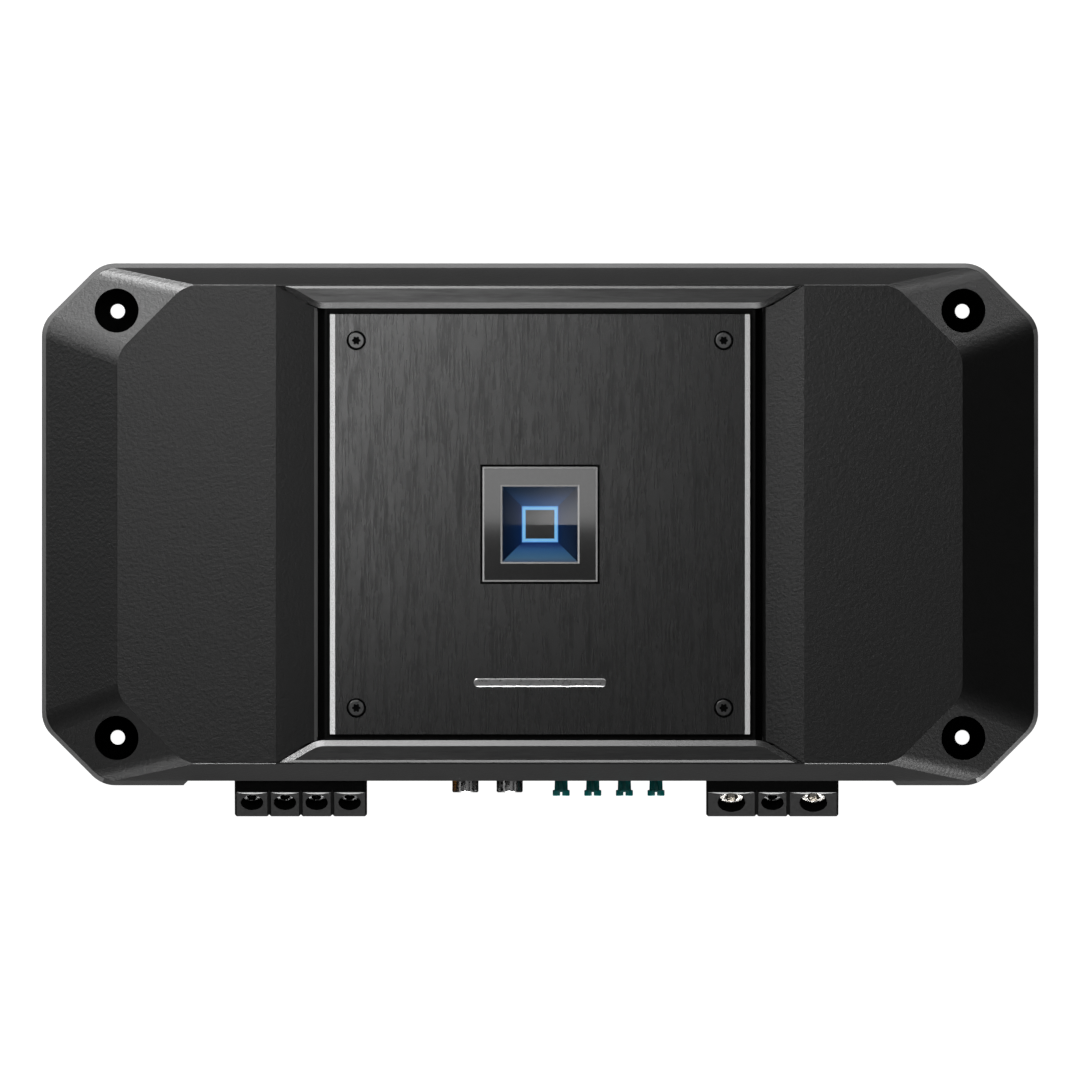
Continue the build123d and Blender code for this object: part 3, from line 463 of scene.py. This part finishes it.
def on_block_slope(at, normal):
    """The sloped front of a terminal block."""
    return at.y < BLOCK_SLOPE_Y and 0.3 < normal.z < 0.95


def in_screw_recess(at, normal):
    return near_corner(at, PLATE_SCREW, PLATE_SCREW, RECESS_R) and at.z < RECESS_TOP


def in_screw_socket(at, normal):
    return near_corner(at, PLATE_SCREW, PLATE_SCREW, SOCKET_R) and at.z < SOCKET_TOP


def on_plate_side(at, normal):
    return is_bevel(at, normal) and abs(at.x) > PLATE_BEVEL_X


def matt_painted_light(name, value):
    """Dull coat without a sheen, whose lighter grey paints the light that an edge catches."""
    return plastic(name, grey(value), 0.65, Specular_IOR_Level=0.05)


give_materials()

unlit = plastic("shadow_black", grey(0.0012), 0.7, Specular_IOR_Level=0.1)
paint_faces("heatsink_cover", unlit, in_groove)
paint_faces("heatsink_cover", unlit, in_well)
paint_faces("faceplate", unlit, in_screw_recess)
paint_faces("faceplate_screws", unlit, in_screw_socket)

# later paint covers earlier paint, so the whole rim comes before its sides
# the rim and the left lip get lighter greys than the coat: painted light where these edges catch the lamps
paint_faces("heatsink_cover", matt_painted_light("rim_painted_light", 0.03), on_rim)
paint_faces("heatsink_cover", powder_coat("right_rim_painted_light", 0.15, 0.34), on_right_rim)
paint_faces("heatsink_cover", matt_painted_light("rear_left_rim_painted_light", 0.095), on_rear_and_left_rim)
paint_faces("heatsink_cover", matt_painted_light("lip_painted_highlight", 0.22), on_left_lip)

slope = plastic("terminal_satin", grey(0.004), 0.5, grain=1100, depth=0.00002, Specular_IOR_Level=0.04)
for housing in ("speaker_terminal_housing", "power_terminal_housing"):
    paint_faces(housing, slope, on_block_slope)

bar_bevel = polished("bar_bevel", grey(0.5), 0.24)
for bar in ("rear_trim_bar", "front_trim_bar"):
    paint_faces(bar, bar_bevel, is_bevel)
paint_faces("faceplate", polished("plate_bevel", grey(0.85), 0.2), on_plate_side)
paint_faces("badge_bezel", polished("bezel_bevel", grey(0.4), 0.2), is_bevel)


# ---------------------------------------------------------------- stage, lights and camera


def softbox(name, location, target, size, power):
    """Rectangular soft light that the camera doesn't see."""
    lamp = bpy.data.lights.new(name, "AREA")
    lamp.shape = "RECTANGLE"
    lamp.size, lamp.size_y = size
    lamp.energy = power
    light = bpy.data.objects.new(name, lamp)
    bpy.context.scene.collection.objects.link(light)
    light.location = location
    aim = Vector(target) - Vector(location)
    light.rotation_euler = aim.to_track_quat("-Z", "Y").to_euler()
    light.visible_camera = False


def floor():
    """White floor that lights nothing and that nothing mirrors."""
    bpy.ops.mesh.primitive_plane_add(size=8.0, location=(0.0, 0.0, 0.0))
    plane = bpy.context.object
    plane.name = "floor"
    g = Graph("floor_white", grey(0.3), 0.9, Emission_Strength=1.0)
    g.set("Specular IOR Level", 0.0)
    g.set("Emission Color", (*WHITE, 1.0))
    plane.data.materials.append(g.material)
    plane.visible_glossy = False
    plane.visible_diffuse = False


def world():
    """White surroundings that only the camera sees."""
    made = bpy.data.worlds.new("studio")
    made.use_nodes = True
    background = made.node_tree.nodes["Background"]
    background.inputs["Color"].default_value = (*WHITE, 1.0)
    background.inputs["Strength"].default_value = 1.0
    for ray in ("diffuse", "glossy", "transmission", "scatter"):
        setattr(made.cycles_visibility, ray, False)
    bpy.context.scene.world = made


# the view is VIEW_WIDTH metres across at SEEN_HEIGHT, half way up the object
VIEW_WIDTH = 0.34157
VIEW_MIDDLE_Y = -0.00497
LENS = 1500.0
SENSOR = 36.0
SEEN_HEIGHT = 0.026


def camera():
    """Very long lens straight over the object, so that its sides hardly show."""
    lens = bpy.data.cameras.new("camera")
    lens.lens = LENS
    lens.sensor_width = SENSOR
    distance = VIEW_WIDTH * LENS / SENSOR
    lens.clip_start = 1.0
    lens.clip_end = distance + 2.0
    cam = bpy.data.objects.new("camera", lens)
    bpy.context.scene.collection.objects.link(cam)
    cam.location = (0.0, VIEW_MIDDLE_Y, distance + SEEN_HEIGHT)
    bpy.context.scene.camera = cam


# lamps: metres, degrees and watts
LIGHT_AIM_HEIGHT = 0.03
LIGHT_REACH = 1.6
NARROW = (0.5, 0.2)
BROAD = (1.0, 0.4)


def low_light(azimuth, elevation, power, size=NARROW):
    """Softbox beside the object and turned to it, with its azimuth counted from +X towards +Y."""
    turn = math.radians(azimuth)
    rise = math.radians(elevation)
    place = (
        LIGHT_REACH * math.cos(turn) * math.cos(rise),
        LIGHT_REACH * math.sin(turn) * math.cos(rise),
        LIGHT_REACH * math.sin(rise) + LIGHT_AIM_HEIGHT,
    )
    softbox(f"side_{azimuth}_{elevation}", place, (0.0, 0.0, LIGHT_AIM_HEIGHT), size, power)


def overhead(name, x, y, height, power):
    """Downward softbox over the ranges x and y."""
    middle = ((x[0] + x[1]) / 2, (y[0] + y[1]) / 2)
    softbox(name, (*middle, height), (*middle, 0.0), (x[1] - x[0], y[1] - y[0]), power)


def lights():
    overhead("over_badge", x=(-0.03, 0.03), y=(0.0, 0.036), height=0.55, power=0.013)
    overhead("near_left", x=(-0.12, -0.06), y=(-0.02, 0.10), height=0.55, power=0.07)
    overhead("near_far_left", x=(-0.20, -0.12), y=(-0.02, 0.10), height=0.55, power=0.024)
    overhead("rear_left", x=(-0.20, 0.0), y=(0.10, 0.20), height=0.55, power=0.37)
    overhead("rear_far_left", x=(-0.35, -0.20), y=(0.20, 0.35), height=0.55, power=0.27)
    overhead("rear_right", x=(0.0, 0.20), y=(0.10, 0.20), height=0.55, power=0.029)
    overhead("high_rear", x=(-0.60, 0.0), y=(0.50, 1.60), height=1.2, power=3.5)
    overhead("high_left", x=(-0.60, -0.05), y=(0.0, 0.50), height=1.2, power=0.22)
    overhead("high_right", x=(0.03, 0.60), y=(-0.50, -0.03), height=1.2, power=0.34)

    # behind the object
    low_light(azimuth=45, elevation=3, power=2.5)
    low_light(azimuth=67.5, elevation=3, power=4.3)
    low_light(azimuth=90, elevation=3, power=3.1)
    low_light(azimuth=112.5, elevation=3, power=46)
    low_light(azimuth=135, elevation=12, power=1.3)
    low_light(azimuth=135, elevation=24, power=6.7)
    low_light(azimuth=157.5, elevation=12, power=4.5)

    # beside it
    low_light(azimuth=180, elevation=40, power=0.52)
    low_light(azimuth=0, elevation=40, power=0.36)

    # in front of it
    low_light(azimuth=247.5, elevation=3, power=2.8)
    low_light(azimuth=270, elevation=3, power=33)
    low_light(azimuth=270, elevation=40, power=0.32)
    low_light(azimuth=292.5, elevation=3, power=8)

    # faint ones off three corners, which show the sides in a low view
    low_light(azimuth=45, elevation=18, power=1.0, size=BROAD)
    low_light(azimuth=225, elevation=18, power=0.4, size=BROAD)
    low_light(azimuth=315, elevation=18, power=0.25, size=BROAD)


floor()
world()
camera()
lights()

scene = bpy.context.scene
scene.view_settings.view_transform = "Standard"
scene.view_settings.look = "None"
